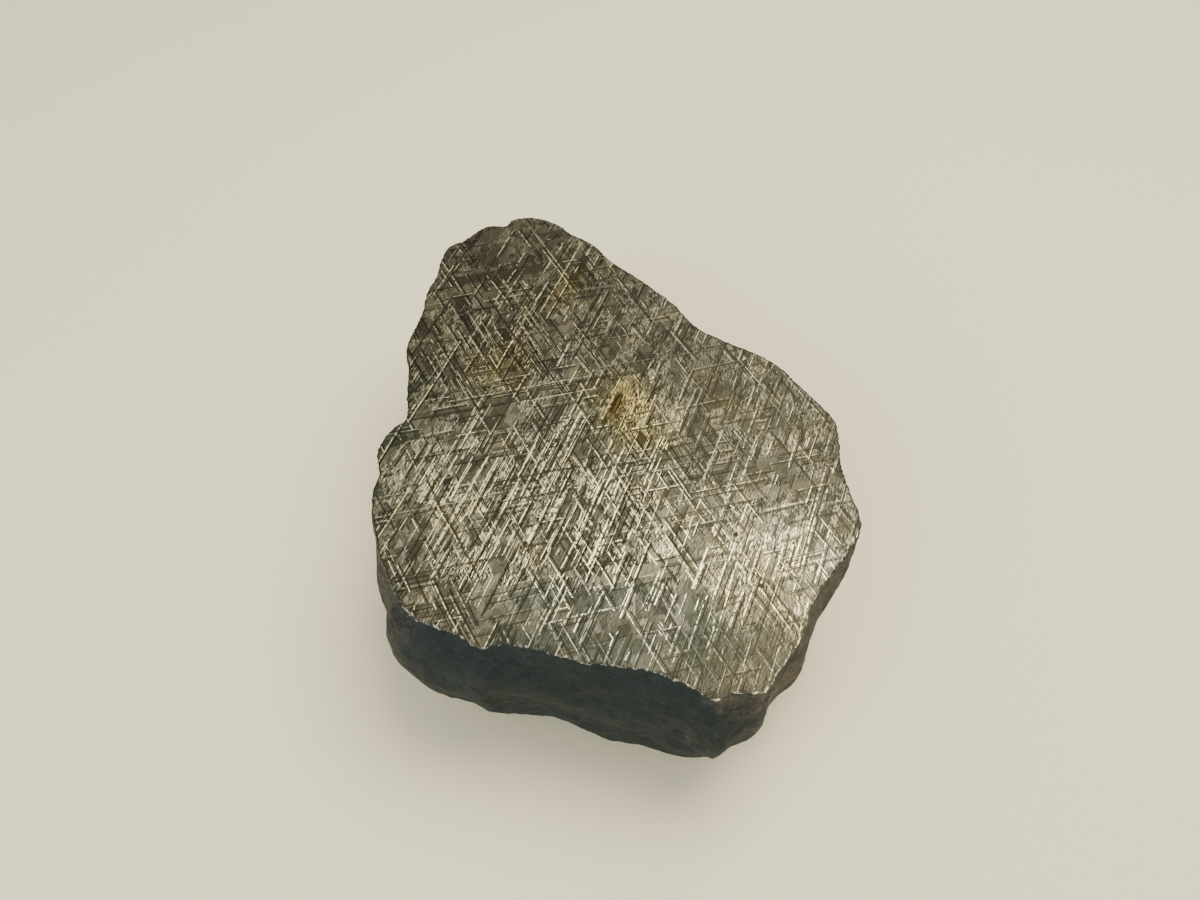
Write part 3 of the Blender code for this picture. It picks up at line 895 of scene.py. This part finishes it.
def bars_laid(tree, place, metal, bars):
    """The tone with the broad marks, then each layer of bars, then the fine marks laid over it.

    A bar's own tone lies between its layer's two tones by chance, and follows a little what it
    covers. Bars are held where noise or their direction's regions are high, and fewer where the
    metal is bare.
    """
    fray = vector(tree, (metal.streaks - 0.5) * 1.2, (metal.speck - 0.5) * 0.5)
    frayed = place.vector_math("ADD", fray)
    tone = marked(tree, frayed, metal.tone, BROAD_MARKS, 0.8)
    nicks = noise(tree, place, 0.55, 2.0, 0.6).step(0.36, 0.52) * 0.8 + 0.2
    long, steep, level = (
        patches(tree, place, regions) for regions in (LONG_CROWD, STEEP_CROWD, LEVEL_CROWD)
    )
    crowd = {LONG: long - level * 0.15, STEEP: steep - level * 0.35, LEVEL: level}
    bare = patch(tree, place, *BARE) * 0.5 + metal.quiet * 0.3
    for number, (turn, pitch, length, share, width, edge, taper, shown, tones) in enumerate(BAR_LAYERS):
        here = after(tree, place, tone)
        chance = noise(tree, here, 0.05 + 0.007 * number, 1.0).step(0.34, 0.60)
        held = (chance * 0.6 + crowd[turn] - bare) * 1.2 + 0.20
        layer = use(
            tree, bars, Place=here, Turn=turn, Pitch=pitch, Length=length, Share=held * share,
            Width=width, Edge=edge, Taper=taper, Waver=0.22, Seed=11.0 * number + 5.0,
        )
        body, glint, shade = shown
        darkest, lightest = tones
        own = layer["Tone"].math("POWER", 1.7) * nicks * (lightest - darkest) + darkest
        own = own + (tone - 0.38) * 0.4
        tone = tone.mix(own, layer["Body"] * body)
        # Painted highlight along one edge of each bar, partly its bright rim, and painted shade along
        # the other
        tone = tone.mix(1.0, layer["Glint"] * layer["Tone"].step(0.1, 0.7) * nicks * glint)
        tone = tone.mix(0.0, layer["Shade"] * shade)
    return marked(tree, frayed, tone, FINE_MARKS, nicks * 0.9)


def lit_metal(tree, place, here, tone, metal, wear_and_highlight_nodes):
    """The tone times the painted light of each region, and the painted shade of the far part.

    The tone is evened out at the right and in front, and the front gets a little painted shade. In
    the glow its brightest parts are raised as painted highlights, and in the far part the dark ones
    are lowered as painted shade. The worn rim, with its painted highlight in front, lies over the
    result.
    """
    # Painted light: slow clouds and oval regions of painted light make the light that the tone is
    # multiplied by, and the front is given a little painted shade
    cloud = noise(tree, here, 0.035, 1.0)
    glow = patch(tree, here, *GLOW)
    far_painted_shade = patch(tree, place, *FAR_PAINTED_SHADE)
    right = patch(tree, place, *PAINTED_LIGHT_AT_RIGHT)
    bright = patches(tree, here, PAINTED_LIGHT_SPOTS)
    light = cloud * 0.30 + glow * 0.20 + right * 0.33 + bright + 0.86
    x, y, _ = parts(tree, place)
    front = y.step(-66.0, -84.0)
    calm = x.step(12.0, 40.0) * 0.30 + front * 0.25
    tone = tone.mix(0.30, calm)
    light = light - front * 0.08
    tone = tone * light + (light - 1.0) * 0.12 + right * 0.05
    # Painted highlights raised in the glow, painted shade on the darks of the far part, and painted
    # grain light where the tone is evened and in the far part
    tone = tone + (tone - 0.60).math("MAXIMUM", 0.0) * glow * 0.65 - glow * 0.015
    tone = tone + (tone - 1.0) * far_painted_shade * 0.10
    tone = tone + metal.painted_grain_light * (calm * 0.35 + far_painted_shade * 0.08) + metal.quiet * 0.03
    # The worn rim: bare metal, strongest in front where it is also a painted highlight, and a thin dark
    # line
    wear = use(tree, wear_and_highlight_nodes, Place=place, Distance=distance_to_rim(tree), Width=0.5)
    return tone.mix(0.80, wear["Bright"] * 0.7).mix(0.08, wear["Dark"]), far_painted_shade


def metal_colours(tree, place, here, tone, far_painted_shade, metal):
    """The colour of the etched metal by its tone and hue, with its stains, and how stained it is.

    The stains are soft patches on a place that wanders by noise. They take the blue out of the
    metal, and rust lies in the middle of two of them. The slit and the dots have browns of their own.
    """
    steel = ramp(tree, tone, STEEL)
    hue = noise(tree, here, 0.07, 2.0) + (metal.field - 0.5) * 0.35 + far_painted_shade * 0.42
    steel = blend_colours(tree, steel, ramp(tree, hue, HUES), 0.50, "MULTIPLY")
    steel = blend_colours(tree, steel, COOL_STRIP, metal.strip * 0.9, "MULTIPLY")
    x, y, _ = parts(tree, place)
    wander = noise(tree, place, 0.16, 3.0, 0.6)
    drift = vector(tree, x + (wander - 0.5) * 12.0, y + (metal.speck - 0.5) * 5.0)
    stain = patches(tree, drift, STAINS) + patch(tree, place, *EVEN_STAIN) * 0.25
    stain = stain.math("MINIMUM", 1.0)
    yellow = blend_colours(tree, steel, YELLOWED, 1.0, "MULTIPLY")
    colour = blend_colours(tree, steel, yellow, stain * 0.85)
    colour = blend_colours(tree, colour, RUST, patches(tree, drift, RUST_SPOTS) * 0.36)

    ragged = vector(tree, x + (metal.speck - 0.5) * 1.5, y + (metal.grain - 0.5) * 1.5)
    colour = blend_colours(tree, colour, SLIT_FILL, patch(tree, ragged, *IN_SLIT).step(0.0, 0.6))
    colour = blend_colours(tree, colour, DOT_FILL, patches(tree, place, DOTS).step(0.1, 0.5))
    return colour, stain


def etched_iron(shift, grain_nodes, wear_and_highlight_nodes):
    """The etched face: metal, crystal bars, painted light and shade, colours and low relief."""
    material, tree, shader = surface_shader("etched_iron", Metallic=0.9)
    place = millimetres(tree, shift)
    bars = bars_group()
    metal = metal_ground(tree, place, bars, grain_nodes)
    tone = bars_laid(tree, place, metal, bars)
    here = after(tree, place, tone)
    tone, far_painted_shade = lit_metal(tree, place, here, tone, metal, wear_and_highlight_nodes)
    colour, stain = metal_colours(tree, place, here, tone, far_painted_shade, metal)
    join(tree, shader.inputs["Base Color"], colour)
    join(tree, shader.inputs["Roughness"], 0.52 - tone.step(0.2, 0.9) * 0.2 + stain * 0.12)
    join(tree, shader.inputs["Normal"], relief(tree, metal.height, 0.12, 0.5))
    return material


def weathered_crust(shift, grain_nodes, wear_and_highlight_nodes):
    """The crust: slate in front, its own dark colour with painted reflection and shade, and brown at
    both ends and at the back.

    How mottled it is, a sum of noise at four sizes, picks the colour from a row of slates and a row
    of browns. Rust, flecks, painted shade in the pits and the bare metal of the rim, with its painted
    highlight in front, lie over them. The relief is the same noise less the pits, and lower in front.
    """
    material, tree, shader = surface_shader("weathered_crust", Specular_IOR_Level=0.14)
    place = millimetres(tree, shift)
    x, y, _ = parts(tree, place)
    cloud = noise(tree, place, 0.05, 5.0, 0.65)
    coarse = noise(tree, place, 0.30, 4.0, 0.65)
    bits = use(tree, grain_nodes, Place=place, Size=CRUST_GRAIN)
    speck, grain = bits["Speck"], bits["Grain"]
    pit = noise(tree, place, 0.60, 1.0).step(0.36, 0.27)
    wander = (cloud - 0.5) * 80.0 + (coarse - 0.5) * 30.0
    right_end = (x + wander).step(34.0, 66.0) * 0.65
    left_end = (x + wander).step(-50.0, -76.0)
    back = (y + wander).step(-40.0, 30.0)
    # The ends and the back, where the crust keeps its own brown; in front its slate carries painted
    # reflection and shade
    worn = right_end.math("MAXIMUM", left_end).math("MAXIMUM", back)
    islands = (cloud + (speck - 0.5) * 0.12).step(0.40, 0.46)
    brown_share = worn * (islands * 0.75 + 0.25)
    mottle = cloud * 0.8 + coarse * 0.7 + speck * 0.5 + grain * 0.5 - 0.75
    colour = blend_colours(tree, ramp(tree, mottle, SLATE), ramp(tree, mottle, BROWN), brown_share)
    rusty = cloud.step(0.55, 0.62) * worn * speck.step(0.40, 0.60)
    colour = blend_colours(tree, colour, CRUST_RUST, rusty * 0.45)
    fleck = grain.step(0.64, 0.70) * coarse.step(0.50, 0.60)
    colour = blend_colours(tree, colour, FLECK, fleck * 0.6)
    # Painted shade in the pits
    colour = blend_colours(tree, colour, PIT_SHADE, pit * (worn * 0.5 + 0.3))
    # The bare metal of the worn rim, strongest in front where it is also a painted highlight
    wear = use(tree, wear_and_highlight_nodes, Place=place, Distance=distance_to_rim(tree), Width=0.45)
    colour = blend_colours(tree, colour, BARE_METAL_AND_HIGHLIGHT, wear["Bright"] * 0.8)
    height = (coarse * 1.6 + speck * 1.2 + grain * 0.5 - pit * 0.8) * (worn * 0.7 + 0.3)
    join(tree, shader.inputs["Base Color"], colour)
    join(tree, shader.inputs["Roughness"], (speck - 0.5) * 0.3 + 0.70)
    join(tree, shader.inputs["Normal"], relief(tree, height, 0.45, 0.7))
    return material


def meteorite():
    """The dressed lump, in place of its solid."""
    *surface, shift = lump_surface()
    mesh = mesh_from_arrays("etched_meteorite", *surface)
    grain, wear = grain_group(), rim_wear_and_highlight_group()
    mesh.materials.append(etched_iron(shift, grain, wear))
    mesh.materials.append(weathered_crust(shift, grain, wear))
    piece = bpy.data.objects.new("etched_meteorite", mesh)
    bpy.context.collection.objects.link(piece)
    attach(piece, "root")
    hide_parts("meteorite_slice")


def pale_floor():
    """A plain pale floor under the lump."""
    bpy.ops.mesh.primitive_plane_add(size=FLOOR_SIZE, location=(0, 0, -FLOOR_DROP))
    floor = bpy.context.object
    floor.name = "floor"
    floor.data.materials.append(surface_shader("floor", Roughness=0.7, Base_Color=FLOOR_COLOUR)[0])


def area_light(name, place, size, power, colour):
    """A square soft light at a place, aimed at the lump."""
    light = bpy.data.lights.new(name, "AREA")
    light.size, light.energy, light.color = size, power, colour
    lamp = bpy.data.objects.new(name, light)
    lamp.location = place
    lamp.rotation_euler = (Vector(place) - Vector(LIGHTS_AIM)).to_track_quat("Z", "Y").to_euler()
    bpy.context.collection.objects.link(lamp)


def studio():
    """Plain soft light: a grey surround, a large light above and behind, and a weak one in front."""
    world = bpy.data.worlds.new("studio")
    world.use_nodes = True
    background = world.node_tree.nodes["Background"]
    background.inputs["Color"].default_value = SURROUND
    background.inputs["Strength"].default_value = SURROUND_STRENGTH
    bpy.context.scene.world = world
    for light in LIGHTS:
        area_light(*light)


def camera():
    """The camera at the photograph's place: turned down about X, with the photograph's lens."""
    lens = bpy.data.cameras.new("camera")
    lens.sensor_width = SENSOR
    lens.lens = FOCAL_PIXELS / FRAME_PIXELS * SENSOR
    viewer = bpy.data.objects.new("camera", lens)
    down = Matrix.Rotation(math.pi / 2 - CAMERA_DOWN, 4, "X")
    viewer.matrix_world = Matrix.Translation(CAMERA_AT) @ down @ Matrix.Rotation(CAMERA_ROLL, 4, "Z")
    bpy.context.collection.objects.link(viewer)
    bpy.context.scene.camera = viewer


camera()
studio()
pale_floor()
meteorite()
